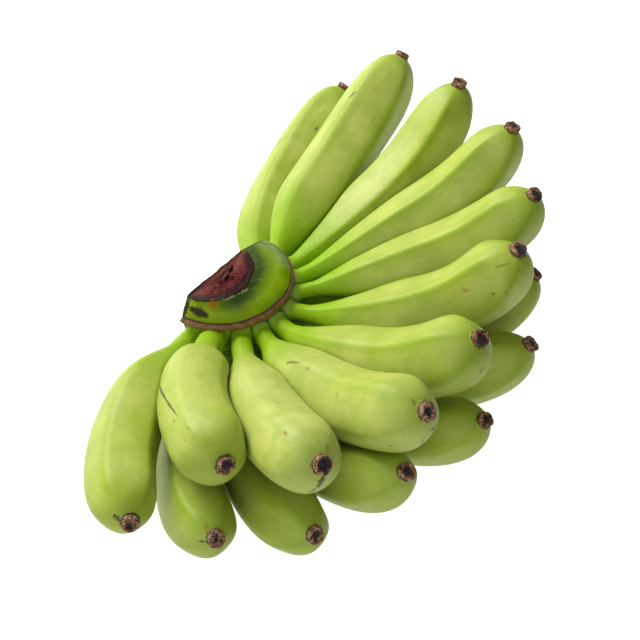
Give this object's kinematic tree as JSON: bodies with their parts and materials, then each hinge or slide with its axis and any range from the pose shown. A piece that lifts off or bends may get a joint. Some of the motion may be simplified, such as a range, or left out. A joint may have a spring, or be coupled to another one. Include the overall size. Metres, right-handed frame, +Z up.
{
  "type": "hand of plantains",
  "caption": "Hand of short green plantains: two staggered rows of curved fingers growing from the round side of a cut crown, lying on its lower row with the tips up.",
  "frame": {"origin": "centre of the bounding box in X and Y, at the lowest point, on the surface that the hand lies on", "axes": "+Z up, square to the surface; +Y from the near fingers to the far fingers; +X from the crown to the middle tips"},
  "size_m": [0.2376, 0.334, 0.1175],
  "materials": {
    "peel": "satin, waxy",
    "crown_skin": "satin",
    "dry_bract": "matt, fibrous"
  },
  "bodies": {
    "root": {"crown": "crown_skin", "bract_scar": "dry_bract", "upper_finger_01": "peel", "upper_finger_02": "peel", "upper_finger_03": "peel", "upper_finger_04": "peel", "upper_finger_05": "peel", "upper_finger_06": "peel", "upper_finger_07": "peel", "upper_finger_08": "peel", "upper_finger_09": "peel", "upper_finger_10": "peel", "lower_finger_01": "peel", "lower_finger_02": "peel", "lower_finger_03": "peel", "lower_finger_04": "peel", "lower_finger_05": "peel", "lower_finger_06": "peel", "lower_finger_07": "peel", "lower_finger_08": "peel", "lower_finger_09": "peel", "lower_finger_10": "peel"}
  },
  "joints": []
}
